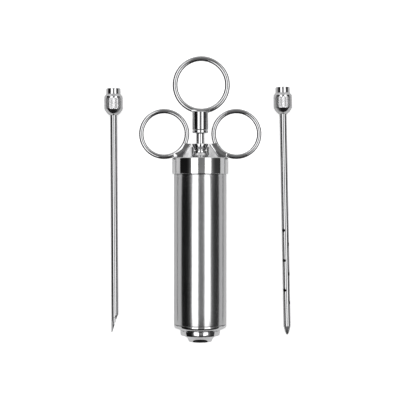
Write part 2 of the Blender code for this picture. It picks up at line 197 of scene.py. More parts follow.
def smooth(piece, degrees=32.0):
    select_only(piece)
    bpy.ops.object.shade_smooth_by_angle(angle=math.radians(degrees))


def arc(centre, radius, start, end, steps, radius_up=None):
    """Points of an arc, its angles in degrees from the outward direction."""
    up = radius if radius_up is None else radius_up
    points = []
    for step in range(steps + 1):
        angle = math.radians(start + (end - start) * step / steps)
        points.append((centre[0] + radius * math.cos(angle), centre[1] + up * math.sin(angle)))
    return points


def rows(radius, first, last, spacing=0.2):
    """A straight wall cut into rows."""
    count = max(1, round(abs(last - first) / spacing))
    return [(radius, first + (last - first) * row / count) for row in range(count + 1)]


def draw_outline(name, outline):
    """A chain of edges in the x-z plane, drawn point by point; left in edit mode."""
    deselect_all()
    bpy.ops.mesh.primitive_plane_add(size=MM, location=(outline[0][0] * MM, 0.0, outline[0][1] * MM))
    piece = bpy.context.object
    piece.name = name
    piece.data.name = name
    bpy.ops.object.transform_apply(location=True, rotation=True, scale=True)
    bpy.ops.object.mode_set(mode="EDIT")
    bpy.ops.mesh.select_all(action="SELECT")
    bpy.ops.mesh.merge(type="CENTER")
    for before, after in zip(outline, outline[1:]):
        step = ((after[0] - before[0]) * MM, 0.0, (after[1] - before[1]) * MM)
        bpy.ops.mesh.extrude_vertices_move(TRANSFORM_OT_translate={"value": step})
    return piece


def lathe(name, outline, sides=NARROW_SIDES, edge=0.12):
    """Spins an outline into a closed turned piece, and eases its edges."""
    if outline[0][0] > 0.0:
        outline = outline + outline[:1]
    piece = draw_outline(name, outline)
    bpy.ops.mesh.select_all(action="SELECT")
    bpy.ops.mesh.spin(steps=sides, angle=2.0 * math.pi, center=(0.0, 0.0, 0.0), axis=(0.0, 0.0, 1.0))
    bpy.ops.mesh.select_all(action="SELECT")
    bpy.ops.mesh.remove_doubles(threshold=0.002 * MM)
    bpy.ops.mesh.normals_make_consistent(inside=False)
    bpy.ops.object.mode_set(mode="OBJECT")
    if edge:
        ease_edges(piece, edge)
    smooth(piece)
    return piece


def ease_edges(piece, width, segments=2):
    apply_modifier(
        piece,
        "BEVEL",
        width=width * MM,
        segments=segments,
        limit_method="ANGLE",
        angle_limit=math.radians(34.0),
    )


def cut_from_sheet(name, outline, thickness):
    """A flat piece in the x-z plane: an outline filled and drawn out both ways."""
    piece = draw_outline(name, outline + outline[:1])
    bpy.ops.mesh.select_all(action="SELECT")
    bpy.ops.mesh.remove_doubles(threshold=0.002 * MM)
    bpy.ops.mesh.edge_face_add()
    bpy.ops.transform.translate(value=(0.0, -thickness / 2 * MM, 0.0))
    bpy.ops.mesh.extrude_region_move(TRANSFORM_OT_translate={"value": (0.0, thickness * MM, 0.0)})
    bpy.ops.mesh.select_all(action="SELECT")
    bpy.ops.mesh.normals_make_consistent(inside=False)
    bpy.ops.object.mode_set(mode="OBJECT")
    return piece


def bent_wire_ring(name, centre, radius, wire):
    """A ring in the x-z plane, whose wire is a little flattened across that plane."""
    deselect_all()
    bpy.ops.mesh.primitive_torus_add(
        major_segments=RING_SIDES,
        minor_segments=40,
        major_radius=radius * MM,
        minor_radius=wire * MM,
        location=(centre[0] * MM, 0.0, centre[1] * MM),
        rotation=(math.pi / 2, 0.0, 0.0),
    )
    ring = bpy.context.object
    ring.name = name
    ring.data.name = name
    bpy.ops.object.transform_apply(location=True, rotation=True, scale=True)
    bpy.ops.object.mode_set(mode="EDIT")
    bpy.ops.mesh.select_all(action="SELECT")
    bpy.ops.transform.resize(value=(1.0, WIRE_FLATNESS, 1.0), center_override=(0.0, 0.0, 0.0))
    bpy.ops.object.mode_set(mode="OBJECT")
    return ring


def fuse(casting, *pieces):
    """Joins overlapping pieces into one body, which keeps the first one's name."""
    for piece in pieces:
        apply_modifier(casting, "BOOLEAN", operation="UNION", solver="EXACT", object=piece)
        bpy.data.objects.remove(piece)
    smooth(casting, 30.0)
    return casting


def slope_faces(piece, direction, pivot, gain):
    """Thins a flat piece towards one side: its thickness changes by gain per millimetre."""
    for vertex in piece.data.vertices:
        along = direction.x * vertex.co.x + direction.y * vertex.co.z - pivot * MM
        vertex.co.y *= 1.0 + gain * along / MM


def cut_away(piece, cutter):
    """Cuts one piece with another, which is then thrown away."""
    apply_modifier(piece, "BOOLEAN", operation="DIFFERENCE", solver="EXACT", object=cutter)
    bpy.data.objects.remove(cutter)


def hand_over(piece, place, body, finish, *nodes):
    """Lays a finished piece in its place, gives it its finish and fixes it to a body."""
    select_only(piece)
    piece.matrix_world = place
    bpy.ops.object.transform_apply(location=True, rotation=True, scale=True)
    material, slot = finish
    piece.data.materials.clear()
    piece.data.materials.append(material)
    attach(piece, body)
    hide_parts(*nodes)


# ---------------------------------------------------------------- finishes

def srgb(code):
    """A colour written as sRGB hex, as linear red, green, blue and alpha."""
    values = [int(code[start:start + 2], 16) / 255.0 for start in (1, 3, 5)]
    return [v / 12.92 if v <= 0.04045 else ((v + 0.055) / 1.055) ** 2.4 for v in values] + [1.0]


def new_material(name):
    material = bpy.data.materials.new(name)
    material.use_nodes = True
    tree = material.node_tree
    return material, tree, tree.nodes["Principled BSDF"]


def add_node(tree, kind, settings=None, inputs=None):
    """Adds a node; inputs maps a socket to a value or to another node's output."""
    node = tree.nodes.new(kind)
    for name, value in (settings or {}).items():
        setattr(node, name, value)
    for socket, value in (inputs or {}).items():
        if isinstance(value, bpy.types.NodeSocket):
            tree.links.new(value, node.inputs[socket])
        else:
            node.inputs[socket].default_value = value
    return node


def own_axis_coordinates(tree, place):
    """Object coordinates turned back to the piece's own axis."""
    coordinates = add_node(tree, "ShaderNodeTexCoord")
    back = place.inverted()
    mapping = add_node(tree, "ShaderNodeMapping", {"vector_type": "POINT"}, {
        "Vector": coordinates.outputs["Object"],
        "Location": back.to_translation(),
        "Rotation": back.to_euler(),
    })
    return mapping.outputs["Vector"]


def noise(tree, vector, scale, detail=2.0, roughness=0.5):
    node = add_node(tree, "ShaderNodeTexNoise", None, {
        "Vector": vector, "Scale": scale, "Detail": detail, "Roughness": roughness,
    })
    return node.outputs["Fac"]


def stretch(tree, vector, scale):
    node = add_node(tree, "ShaderNodeMapping", None, {"Vector": vector, "Scale": scale})
    return node.outputs["Vector"]


def ramp_value(tree, value, low, high):
    """Spreads a 0 to 1 value between two limits."""
    node = add_node(tree, "ShaderNodeMapRange", None, {
        "Value": value, "From Min": 0.3, "From Max": 0.7, "To Min": low, "To Max": high,
    })
    return node.outputs["Result"]


def bump(tree, height, distance, strength, normal=None):
    inputs = {"Height": height, "Distance": distance, "Strength": strength}
    if normal:
        inputs["Normal"] = normal
    return add_node(tree, "ShaderNodeBump", None, inputs).outputs["Normal"]


def polished_stainless(name, place, tones, waviness, haze):
    """Stainless steel buffed on a mop: a near mirror, with faint buffing haze and soft waves."""
    material, tree, shader = new_material(name)
    shader.inputs["Metallic"].default_value = 1.0
    vector = own_axis_coordinates(tree, place)
    # The tones are given for each use; for the cast rings and webs they are darkened as painted shade.
    tone = add_node(tree, "ShaderNodeMix", {"data_type": "RGBA"}, {
        0: noise(tree, vector, 260.0), 6: srgb(tones[0]), 7: srgb(tones[1]),
    })
    tree.links.new(tone.outputs[2], shader.inputs["Base Color"])
    # Buffing haze in patches of about 4 mm, and scratches 0.3 mm apart.
    patches = noise(tree, vector, 250.0, 3.0)
    tree.links.new(ramp_value(tree, patches, haze * 0.5, haze * 1.5), shader.inputs["Roughness"])
    waves = bump(tree, noise(tree, vector, 180.0, 1.0), 0.2 * MM, waviness)
    scratches = noise(tree, vector, 3300.0, 2.0)
    tree.links.new(bump(tree, scratches, 0.01 * MM, 0.08, waves), shader.inputs["Normal"])
    return material, "polished_steel"


def knurled_stainless(name, place):
    """Stainless steel turned bright, with a knurled grip that scatters the light."""
    material, slot = polished_stainless(name, place, ("#B4B4B5", "#C0C0C1"), 0.05, 0.1)
    tree = material.node_tree
    shader = tree.nodes["Principled BSDF"]
    split = add_node(tree, "ShaderNodeSeparateXYZ", None, {0: own_axis_coordinates(tree, place)})
    off_middle = add_node(tree, "ShaderNodeMath", {"operation": "SUBTRACT"}, {
        0: split.outputs["Z"], 1: (HUB_GRIP_BASE + HUB_GRIP_END) / 2 * MM,
    })
    on_grip = add_node(tree, "ShaderNodeMath", {"operation": "COMPARE"}, {
        0: off_middle.outputs[0], 1: 0.0, 2: (HUB_GRIP_END - HUB_GRIP_BASE) / 2 * MM,
    })
    rough = add_node(tree, "ShaderNodeMapRange", None, {
        "Value": on_grip.outputs[0], "To Min": 0.1, "To Max": 0.2,
    })
    tree.links.new(rough.outputs["Result"], shader.inputs["Roughness"])
    return material, slot


def brushed_stainless(name, place):
    """Stainless tube drawn lengthwise through an abrasive belt: fine streaks, soft reflections."""
    material, tree, shader = new_material(name)
    shader.inputs["Metallic"].default_value = 1.0
    vector = own_axis_coordinates(tree, place)
    # Streaks run along the axis: 0.25 mm apart round the tube and about 25 mm long.
    streaks = noise(tree, stretch(tree, vector, (1.0, 1.0, 0.01)), 4000.0, 3.0, 0.6)
    bands = noise(tree, stretch(tree, vector, (1.0, 1.0, 0.05)), 600.0, 2.0)
    tone = add_node(tree, "ShaderNodeMix", {"data_type": "RGBA"}, {
        0: streaks, 6: srgb("#AEAEAF"), 7: srgb("#BCBCBD"),
    })
    tree.links.new(tone.outputs[2], shader.inputs["Base Color"])
    rough = add_node(tree, "ShaderNodeMath", {"operation": "ADD"}, {
        0: ramp_value(tree, streaks, 0.13, 0.18), 1: ramp_value(tree, bands, 0.0, 0.04),
    })
    tree.links.new(rough.outputs[0], shader.inputs["Roughness"])
    tree.links.new(bump(tree, streaks, 0.02 * MM, 0.25), shader.inputs["Normal"])
    return material, "satin_steel"


def ground_stainless(name, place):
    """Stainless steel ground to a point on a wheel: matt, with rings round it."""
    material, tree, shader = new_material(name)
    shader.inputs["Metallic"].default_value = 1.0
    shader.inputs["Base Color"].default_value = srgb("#BDBDBE")
    vector = own_axis_coordinates(tree, place)
    # Grinding rings 0.2 mm apart along the point.
    rings = noise(tree, stretch(tree, vector, (0.1, 0.1, 1.0)), 5000.0, 2.0)
    tree.links.new(ramp_value(tree, rings, 0.28, 0.42), shader.inputs["Roughness"])
    tree.links.new(bump(tree, rings, 0.02 * MM, 0.3), shader.inputs["Normal"])
    return material, "satin_steel"


def white_silicone(name, place):
    """Food-grade silicone rubber, moulded: milky, slightly see-through and dull."""
    material, tree, shader = new_material(name)
    vector = own_axis_coordinates(tree, place)
    tone = add_node(tree, "ShaderNodeMix", {"data_type": "RGBA"}, {
        0: noise(tree, vector, 400.0), 6: srgb("#D8D8D3"), 7: srgb("#E4E4E0"),
    })
    tree.links.new(tone.outputs[2], shader.inputs["Base Color"])
    shader.inputs["Subsurface Weight"].default_value = 0.2
    shader.inputs["Subsurface Scale"].default_value = 0.001
    grain = noise(tree, vector, 2500.0)
    tree.links.new(ramp_value(tree, grain, 0.45, 0.6), shader.inputs["Roughness"])
    tree.links.new(bump(tree, grain, 0.01 * MM, 0.2), shader.inputs["Normal"])
    return material, "silicone"


def turned_nylon(name, place):
    """Nylon bar turned on a lathe: off-white, waxy, with faint tool rings."""
    material, tree, shader = new_material(name)
    vector = own_axis_coordinates(tree, place)
    tone = add_node(tree, "ShaderNodeMix", {"data_type": "RGBA"}, {
        0: noise(tree, vector, 300.0), 6: srgb("#E6E3DA"), 7: srgb("#F0EEE6"),
    })
    tree.links.new(tone.outputs[2], shader.inputs["Base Color"])
    # Tool rings 0.25 mm apart along the axis.
    rings = noise(tree, stretch(tree, vector, (0.05, 0.05, 1.0)), 4000.0)
    tree.links.new(ramp_value(tree, rings, 0.36, 0.5), shader.inputs["Roughness"])
    tree.links.new(bump(tree, rings, 0.01 * MM, 0.3), shader.inputs["Normal"])
    return material, "nylon"


# ---------------------------------------------------------------- barrel and nose

def thread_depth(angle, height, start, end):
    """How deep the right-hand thread cuts at one place, easing in above start and out below end."""
    weight = min(1.0, (height - start) / THREAD_FADE, (end - height) / THREAD_FADE)
    wave = 0.5 - 0.5 * math.cos(2.0 * math.pi * height / THREAD_PITCH - angle)
    return THREAD_DEPTH * max(0.0, weight) * wave


def roll_thread(piece, radius, start, end):
    """Presses the rounded thread into the wall of that radius."""
    for vertex in piece.data.vertices:
        x, y, height = vertex.co / MM
        if abs(math.hypot(x, y) - radius) < 0.05:
            angle = math.atan2(y, x)
            depth = thread_depth(angle, height, start, end)
            vertex.co = Vector((x - depth * math.cos(angle), y - depth * math.sin(angle), height)) * MM


def make_barrel(place, finish):
    outline = [(BARREL_BORE, BARREL_BASE), (BARREL_BORE, BARREL_TOP - 0.2), (BARREL_BORE + 0.2, BARREL_TOP)]
    outline += rows(BARREL_RADIUS, BARREL_TOP, THREAD_START)
    outline += [(BARREL_RADIUS, 60.0), (BARREL_RADIUS, 20.0)]
    outline += arc((BARREL_RADIUS - 0.15, BARREL_BASE + 0.15), 0.15, 0.0, -90.0, 4)
    barrel = lathe("barrel", outline, WIDE_SIDES, edge=None)
    roll_thread(barrel, BARREL_RADIUS, THREAD_START, BARREL_TOP + THREAD_FADE)
    smooth(barrel, 50.0)
    hand_over(barrel, place, "barrel", finish, "barrel_tube")


def make_nose(place, steel, silicone):
    spigot_radius = 14.4
    spigot_top = 5.4
    groove_radius = 13.2
    groove_base = 2.7
    groove_top = 4.2
    rim_round = 1.8
    outline = [
        (12.6, spigot_top),
        (spigot_radius, spigot_top),
        (spigot_radius, groove_top),
        (groove_radius, groove_top),
        (groove_radius, groove_base),
        (spigot_radius, groove_base),
        (spigot_radius, NOSE_RIM),
        (BARREL_RADIUS - 0.15, NOSE_RIM),
        (BARREL_RADIUS, NOSE_RIM - 0.15),
    ]
    outline += arc((BARREL_RADIUS - rim_round, 1.2), rim_round, 0.0, -80.0, 14)
    outline += [(12.2, -1.4)]
    outline += arc((11.85, -1.8), 0.2, 60.0, 0.0, 3)
    outline += [(12.05, -3.0)]
    outline += arc((11.65, -4.35), 0.2, 0.0, -60.0, 3)
    outline += arc((11.49, -9.39), 4.6, 119.0, 166.0, 8)
    outline += [(6.95, NOSE_END + 0.06)]
    outline += [
        (SOCKET_RADIUS + 0.25, NOSE_END),
        (SOCKET_RADIUS, NOSE_END + 0.25),
        (SOCKET_RADIUS, SOCKET_FLOOR),
        (NIPPLE_RADIUS, SOCKET_FLOOR),
    ]
    outline += nipple_thread()
    outline += [(NOSE_CHANNEL, NIPPLE_END), (NOSE_CHANNEL, -1.5), (5.5, -1.5)]
    nose = lathe("nose_fitting", outline, WIDE_SIDES, edge=0.1)
    hand_over(nose, place, "barrel", steel, "nose_cap")
    seal = seal_ring("nose_seal", 14.0, 0.6, (groove_base + groove_top) / 2, WIDE_SIDES)
    hand_over(seal, place, "barrel", silicone, "nose_o_ring")
    washer_base = -5.0
    washer_top = -4.2
    washer = lathe("needle_seal", [
        (3.25, washer_base), (4.65, washer_base), (4.65, washer_top), (3.25, washer_top),
    ])
    hand_over(washer, place, "barrel", silicone, "needle_washer")


def nipple_thread():
    """Rings cut 0.8 mm apart into the nipple, as its thread looks end on."""
    outline = []
    height = SOCKET_FLOOR - 1.4
    while height - NEEDLE_PITCH > NIPPLE_END + 0.3:
        outline += [(NIPPLE_RADIUS, height), (NIPPLE_RADIUS - 0.4, height - NEEDLE_PITCH / 2)]
        height -= NEEDLE_PITCH
    return outline + [(NIPPLE_RADIUS, height), (NIPPLE_RADIUS - 0.3, NIPPLE_END)]


def seal_ring(name, radius, wire, height, sides=NARROW_SIDES):
    return lathe(name, arc((radius, height), wire, 0.0, 360.0, 20)[:-1], sides, edge=None)


# ---------------------------------------------------------------- cap and gland

def make_cap(place, steel, silicone, nylon):
    thread_radius = BARREL_RADIUS + THREAD_CLEARANCE
    thread_base = THREAD_START + THREAD_FADE
    outline = [(thread_radius, CAP_BASE + 0.2), (thread_radius + 0.2, CAP_BASE)]
    outline += arc((CAP_RADIUS - 0.25, CAP_BASE + 0.25), 0.25, -90.0, 0.0, 5)
    outline += arc((CAP_RADIUS - 0.5, CAP_TOP - 0.5), 0.5, 0.0, 90.0, 8)
    flare_width = FLARE_RADIUS - NECK_RADIUS
    outline += arc((FLARE_RADIUS, NECK_TOP), flare_width, 270.0, 180.0, 20, NECK_TOP - CAP_TOP)
    outline += [(NECK_BORE, NECK_TOP), (NECK_BORE, CAP_CEILING), (thread_radius, CAP_CEILING)]
    outline += rows(thread_radius, BARREL_TOP, thread_base)
    cap = lathe("screw_cap", outline, WIDE_SIDES, edge=None)
    roll_thread(cap, thread_radius, thread_base, BARREL_TOP)
    smooth(cap, 50.0)
    hand_over(cap, place, "top_cap", steel, "cap_shell")
    gasket_base = 100.7
    gasket_top = 101.7
    gasket = lathe("cap_seal_ring", [
        (12.5, gasket_base), (15.6, gasket_base), (15.6, gasket_top), (12.5, gasket_top),
    ], WIDE_SIDES)
    hand_over(gasket, place, "cap_seal", silicone, "cap_gasket")
    bush_bore = 2.8
    bush_radius = NECK_BORE - 0.3
    flange_radius = 5.0
    flange_base = 101.0
    bush = lathe("nylon_bush", [
        (bush_bore, flange_base),
        (flange_radius, flange_base),
        (flange_radius, gasket_top),
        (bush_radius, gasket_top),
        (bush_radius, NECK_TOP),
        (bush_bore, NECK_TOP),
    ])
    hand_over(bush, place, "top_cap", nylon, "rod_bush")


def make_gland(place, steel, silicone):
    groove_radius = 3.7
    groove_base = 108.7
    groove_top = 110.3
    outline = [(ROD_BORE, GLAND_BASE), (GLAND_BASE_RADIUS, GLAND_BASE)]
    outline += arc((GLAND_RADIUS - 0.4, GLAND_TOP - 0.4), 0.4, 0.0, 90.0, 6)
    outline += [
        (ROD_BORE, GLAND_TOP),
        (ROD_BORE, groove_top),
        (groove_radius, groove_top),
        (groove_radius, groove_base),
        (ROD_BORE, groove_base),
    ]
    hand_over(lathe("gland_nut", outline), place, "top_cap", steel, "rod_gland")
    seal = seal_ring("rod_seal", 3.12, 0.42, (groove_base + groove_top) / 2)
    hand_over(seal, place, "top_cap", silicone, "rod_o_ring")


def mirrored(outline, side):
    """An outline drawn for the right side, or its mirror image for the left, where side is -1."""
    return [(side * x, height) for x, height in outline]


def make_finger_grip(side_name, side, place, polished, rough):
    """A cast ring whose lower inner side spreads into a pad, and a duller web from it to the neck; both get
    steel colours darkened as painted shade.
    """
    centre = (side * FINGER_RING_X, FINGER_RING_HEIGHT)
    grip = bent_wire_ring(side_name + "_finger_grip", centre, FINGER_RING_RADIUS, FINGER_RING_WIRE)
    pad = [(5.3, 111.3), (8.1, 111.5)]
    pad += arc((FINGER_RING_X, FINGER_RING_HEIGHT), 12.9, 204.0, 246.0, 12)
    pad += [(16.2, 102.9), (11.1, 102.9)]
    pad_piece = cut_from_sheet(side_name + "_pad", mirrored(pad, side), PAD_THICKNESS)
    slope_faces(pad_piece, Vector((0.0, 1.0)), 107.0, PAD_SLOPE)
    ease_edges(pad_piece, 0.45, 3)
    link = [(3.9, 109.6), (5.8, 109.6), (5.8, 102.7), (3.9, 102.7)]
    link_piece = cut_from_sheet(side_name + "_link", mirrored(link, side), LINK_THICKNESS)
    web = [(5.2, 110.8), (6.8, 110.8), (12.6, 102.7), (5.2, 102.7)]
    web_piece = cut_from_sheet(side_name + "_web", mirrored(web, side), WEB_THICKNESS)
    slope_faces(web_piece, Vector((side, 0.0)), 6.5, WEB_SLOPE)
    fuse(grip, pad_piece, link_piece)
    hand_over(grip, place, "top_cap", polished, side_name + "_finger_ring")
    smooth(web_piece)
    hand_over(web_piece, place, "top_cap", rough, side_name + "_finger_ring")


# ---------------------------------------------------------------- plunger

def make_plunger_rod(place, finish):
    outline = [(0.0, ROD_BASE), (ROD_RADIUS - 0.4, ROD_BASE), (ROD_RADIUS, ROD_BASE + 0.4)]
    outline += [(ROD_RADIUS, 50.0), (ROD_RADIUS, 100.0), (ROD_RADIUS, ROD_TOP), (0.0, ROD_TOP)]
    hand_over(lathe("plunger_shaft", outline), place, "plunger", finish, "plunger_rod")
    base = LOCK_RING_BASE
    top = LOCK_RING_TOP
    outline = [(ROD_BORE, base), (STEM_RADIUS - 0.5, base)]
    outline += arc((STEM_RADIUS - 0.4, base + 0.4), 0.4, -90.0, 0.0, 5)
    outline += arc((STEM_RADIUS - 0.25, top - 0.25), 0.25, 0.0, 90.0, 4)
    outline += [(ROD_BORE, top)]
    hand_over(lathe("lock_collar", outline), place, "plunger", finish, "stem_lock_ring")


def make_thumb_grip(place, finish):
    """A ring and its saddle, cast in one with a stem that is bored for the rod."""
    grip = bent_wire_ring("thumb_grip", (THUMB_RING_X, THUMB_RING_HEIGHT), THUMB_RING_RADIUS, THUMB_RING_WIRE)
    stem = [(0.0, ROD_TOP + 0.3), (ROD_BORE, ROD_TOP + 0.3), (ROD_BORE, STEM_BASE)]
    stem += arc((STEM_RADIUS - 0.25, STEM_BASE + 0.25), 0.25, -90.0, 0.0, 4)
    stem += arc((STEM_RADIUS - 1.0, STEM_SHOULDER), 1.0, 0.0, 90.0, 8) + [(0.0, STEM_SHOULDER + 1.0)]
    fillet = 1.6
    reach = THUMB_RING_RADIUS + THUMB_RING_WIRE - 0.3 + fillet
    outlines = []
    for side in (-1, 1):
        fillet_x = STEM_RADIUS - 0.2 + fillet - side * THUMB_RING_X
        drop = math.sqrt(reach ** 2 - fillet_x ** 2)
        end_angle = math.degrees(math.atan2(drop, -fillet_x))
        corner = arc((fillet_x, THUMB_RING_HEIGHT - drop), fillet, 180.0, end_angle, 8)
        corner += [(5.6, THUMB_RING_HEIGHT - 15.0)]
        outlines.append([(side * x + THUMB_RING_X, height) for x, height in corner])
    left, right = outlines
    saddle = cut_from_sheet("thumb_ring_saddle", right + left[::-1], 2.0 * THUMB_RING_WIRE - 0.5)
    ease_edges(saddle, 0.3, 3)
    fuse(grip, lathe("thumb_stem", stem, NARROW_SIDES, None), saddle)
    hand_over(grip, place, "plunger", finish, "thumb_ring")


def make_piston(place, steel, silicone, nylon):
    radius = 14.5
    base = 9.4
    top = 18.4
    groove_radius = 12.9
    groove_width = 2.0
    groove_bases = (11.0, 14.8)
    outline = [(ROD_BORE, base), (radius - 0.6, base), (radius, base + 0.6)]
    for groove in groove_bases:
        outline += [(radius, groove), (groove_radius, groove)]
        outline += [(groove_radius, groove + groove_width), (radius, groove + groove_width)]
    outline += [(radius, top - 0.6), (radius - 0.6, top), (ROD_BORE, top)]
    hand_over(lathe("nylon_piston", outline, WIDE_SIDES), place, "plunger", nylon, "piston_body")
    for where, groove in zip(("front", "rear"), groove_bases):
        seal = seal_ring("piston_seal_" + where, 13.85, 0.75, groove + groove_width / 2, WIDE_SIDES)
        hand_over(seal, place, "piston_seals", silicone, "piston_o_ring_" + where)
    for where, edge, low, high in (("front", 11.0, 8.3, 9.1), ("rear", 9.0, 18.7, 19.7)):
        washer = lathe(where + "_washer", [(ROD_BORE, low), (edge, low), (edge, high), (ROD_BORE, high)])
        hand_over(washer, place, "plunger", steel, "piston_" + where + "_washer")
    make_nut(place, steel)


def make_nut(place, finish):
    """A hexagon bar bored for the rod."""
    height = 3.0
    middle = 6.5
    corner_radius = 4.62
    deselect_all()
    bpy.ops.mesh.primitive_cylinder_add(
        vertices=6, radius=corner_radius * MM, depth=height * MM, location=(0.0, 0.0, middle * MM),
    )
    nut = bpy.context.object
    nut.name = "piston_lock_nut"
    bpy.ops.object.transform_apply(location=True, rotation=True, scale=True)
    ease_edges(nut, 0.2)
    bore = pin("nut_bore", ROD_BORE, height * 2, Vector((0.0, 0.0, middle)), Vector((0.0, 0.0, 1.0)))
    cut_away(nut, bore)
    smooth(nut)
    hand_over(nut, place, "plunger", finish, "piston_nut")


# ---------------------------------------------------------------- needles

def pin(name, radius, length, centre, direction, sides=32):
    """A round bar to cut with, centred on a point and lying along a direction."""
    deselect_all()
    bpy.ops.mesh.primitive_cylinder_add(vertices=sides, radius=radius * MM, depth=length * MM)
    bar = bpy.context.object
    bar.name = name
    turn = direction.to_track_quat("Z", "X").to_matrix().to_4x4()
    bar.matrix_world = Matrix.Translation(centre * MM) @ turn
    bpy.ops.object.transform_apply(location=True, rotation=True, scale=True)
    return bar


def knurl(hub):
    """Raises a pyramid on each diamond of the grip: quads are crossed, and their old edges taken out."""
    band_low = (HUB_GRIP_BASE + 0.05) * MM
    band_high = (HUB_GRIP_END - 0.05) * MM
    mesh = hub.data

    def in_band(face):
        on_grip = face.center.xy.length > (HUB_GRIP_RADIUS - 0.4) * MM
        return on_grip and band_low < face.center.z < band_high

    def select_faces(chosen):
        for face in mesh.polygons:
            face.select = chosen(face)
        bpy.ops.object.mode_set(mode="EDIT")

    select_only(hub)
    bpy.ops.object.mode_set(mode="EDIT")
    bpy.ops.mesh.select_all(action="DESELECT")
    bpy.ops.mesh.select_mode(type="FACE")
    bpy.ops.object.mode_set(mode="OBJECT")
    corner_count = len(mesh.vertices)
    select_faces(in_band)
    bpy.ops.mesh.poke(offset=0.0)
    bpy.ops.mesh.select_all(action="DESELECT")
    bpy.ops.mesh.select_mode(type="EDGE")
    bpy.ops.object.mode_set(mode="OBJECT")
    touching = {}
    for face in mesh.polygons:
        for key in face.edge_keys:
            touching.setdefault(key, []).append(in_band(face))
    for edge in mesh.edges:
        old = edge.vertices[0] < corner_count and edge.vertices[1] < corner_count
        edge.select = old and all(touching[tuple(sorted(edge.vertices))])
    bpy.ops.object.mode_set(mode="EDIT")
    bpy.ops.mesh.dissolve_edges(use_verts=False)
    bpy.ops.mesh.select_all(action="DESELECT")
    bpy.ops.mesh.select_mode(type="FACE")
    bpy.ops.object.mode_set(mode="OBJECT")
    select_faces(lambda face: in_band(face) and len(face.vertices) == 4)
    bpy.ops.mesh.poke(offset=KNURL_DEPTH * MM)
    bpy.ops.mesh.select_mode(type="VERT")
    bpy.ops.object.mode_set(mode="OBJECT")


def make_hub(name, node, body, place):
    outline = [(HUB_BORE, 0.15), (HUB_BORE + 0.15, 0.0)]
    outline += arc((HUB_NECK_RADIUS - 0.3, 0.3), 0.3, -90.0, 0.0, 6)
    outline += [(HUB_NECK_RADIUS, 3.4)]
    outline += arc((HUB_NECK_RADIUS + 0.3, 3.4), 0.3, 180.0, 110.0, 5)
    outline += arc((HUB_GRIP_RADIUS - 0.6, HUB_GRIP_BASE - 0.5), 0.6, -40.0, 0.0, 3)
    outline += rows(HUB_GRIP_RADIUS, HUB_GRIP_BASE, HUB_GRIP_END, KNURL_SPACING)
    # The rounded cone down to the tube.
    outline += [(5.55, 13.1), (5.1, 13.9), (4.55, 14.75), (3.9, 15.5), (3.2, 16.1), (2.8, 16.4)]
    outline += [(2.65, HUB_LENGTH), (2.45, HUB_LENGTH), (2.45, 9.2), (1.6, 9.2)]
    outline += [(1.6, 5.2), (HUB_BORE, 5.2)]
    outline += hub_thread()
    hub = lathe(name, outline, KNURL_SIDES, edge=None)
    knurl(hub)
    smooth(hub, 16.0)
    hand_over(hub, place, body, knurled_stainless(name + "_knurled_stainless", place), node)


def hub_thread():
    """Grooves 0.8 mm apart inside the hub's open end."""
    outline = []
    for turn in range(5):
        height = 4.7 - turn * NEEDLE_PITCH
        outline += [(HUB_BORE, height), (HUB_BORE + 0.3, height - NEEDLE_PITCH / 2)]
    return outline + [(HUB_BORE, 0.7)]


def tube_outline(end):
    outer = rows(TUBE_RADIUS, TUBE_BASE, end, 6.0)
    inner = rows(TUBE_BORE, end, TUBE_BASE, 6.0)
    return outer + inner


def make_bevelled_needle(place, finish):
    make_hub("bevelled_hub", "left_needle_hub", "left_needle", place)
    tube = lathe("bevelled_tube", tube_outline(BEVEL_TIP + 2.0), edge=None)
    # The wheel cuts steeply at the heel, and long and thin towards the tip on the other side.
    rise = BEVEL_TIP - BEVEL_HEEL
    cut_line = []
    for step in range(-2, 17):
        share = step / 16.0
        drop = -rise * share ** 2 if step < 0 else rise * share ** 2
        cut_line.append((TUBE_RADIUS * (1.0 - 2.0 * share), BEVEL_HEEL + drop))
    cut_line += [(-TUBE_RADIUS - 1.0, BEVEL_TIP + 2.0), (-TUBE_RADIUS - 1.0, BEVEL_TIP + 9.0)]
    cut_line += [(TUBE_RADIUS + 3.0, BEVEL_TIP + 9.0), (TUBE_RADIUS + 3.0, BEVEL_HEEL)]
    block = cut_from_sheet("grinding_cut", cut_line, 12.0)
    block.rotation_euler.z = math.radians(BEVEL_LIFT)
    cut_away(tube, block)
    smooth(tube)
    hand_over(tube, place, "left_needle", finish, "left_needle_tube")


def make_perforated_needle(place, finish, ground):
    make_hub("perforated_hub", "right_needle_hub", "right_needle", place)
    tube = lathe("perforated_tube", tube_outline(PERFORATED_TUBE_END), edge=None)
    length = 3.0
    for azimuth, heights in HOLE_ROWS:
        angle = math.radians(azimuth)
        outward = Vector((math.sin(angle), math.cos(angle), 0.0))
        for height in heights:
            centre = outward * (0.3 + length / 2) + Vector((0.0, 0.0, height))
            cut_away(tube, pin("side_hole", HOLE_RADIUS, length, centre, outward))
    smooth(tube)
    hand_over(tube, place, "right_needle", finish, "right_needle_tube")
    shoulder = PERFORATED_TUBE_END + 0.1
    plug = TUBE_BORE - 0.2
    plug_end = shoulder - 4.5
    tip_round = 0.8
    outline = [(0.0, plug_end), (plug - 0.2, plug_end), (plug, plug_end + 0.2), (plug, shoulder)]
    outline += [(TUBE_RADIUS, shoulder), (TUBE_RADIUS - 0.1, shoulder + 0.5), (1.7, shoulder + 2.0)]
    outline += [(1.3, shoulder + 3.6)]
    outline += arc((0.0, POINT_END - tip_round), tip_round, 20.0, 90.0, 6)[:-1]
    outline += [(0.0, POINT_END)]
    point = lathe("ground_point", outline, edge=None)
    hand_over(point, place, "right_needle", ground, "right_needle_point")


# ---------------------------------------------------------------- stage

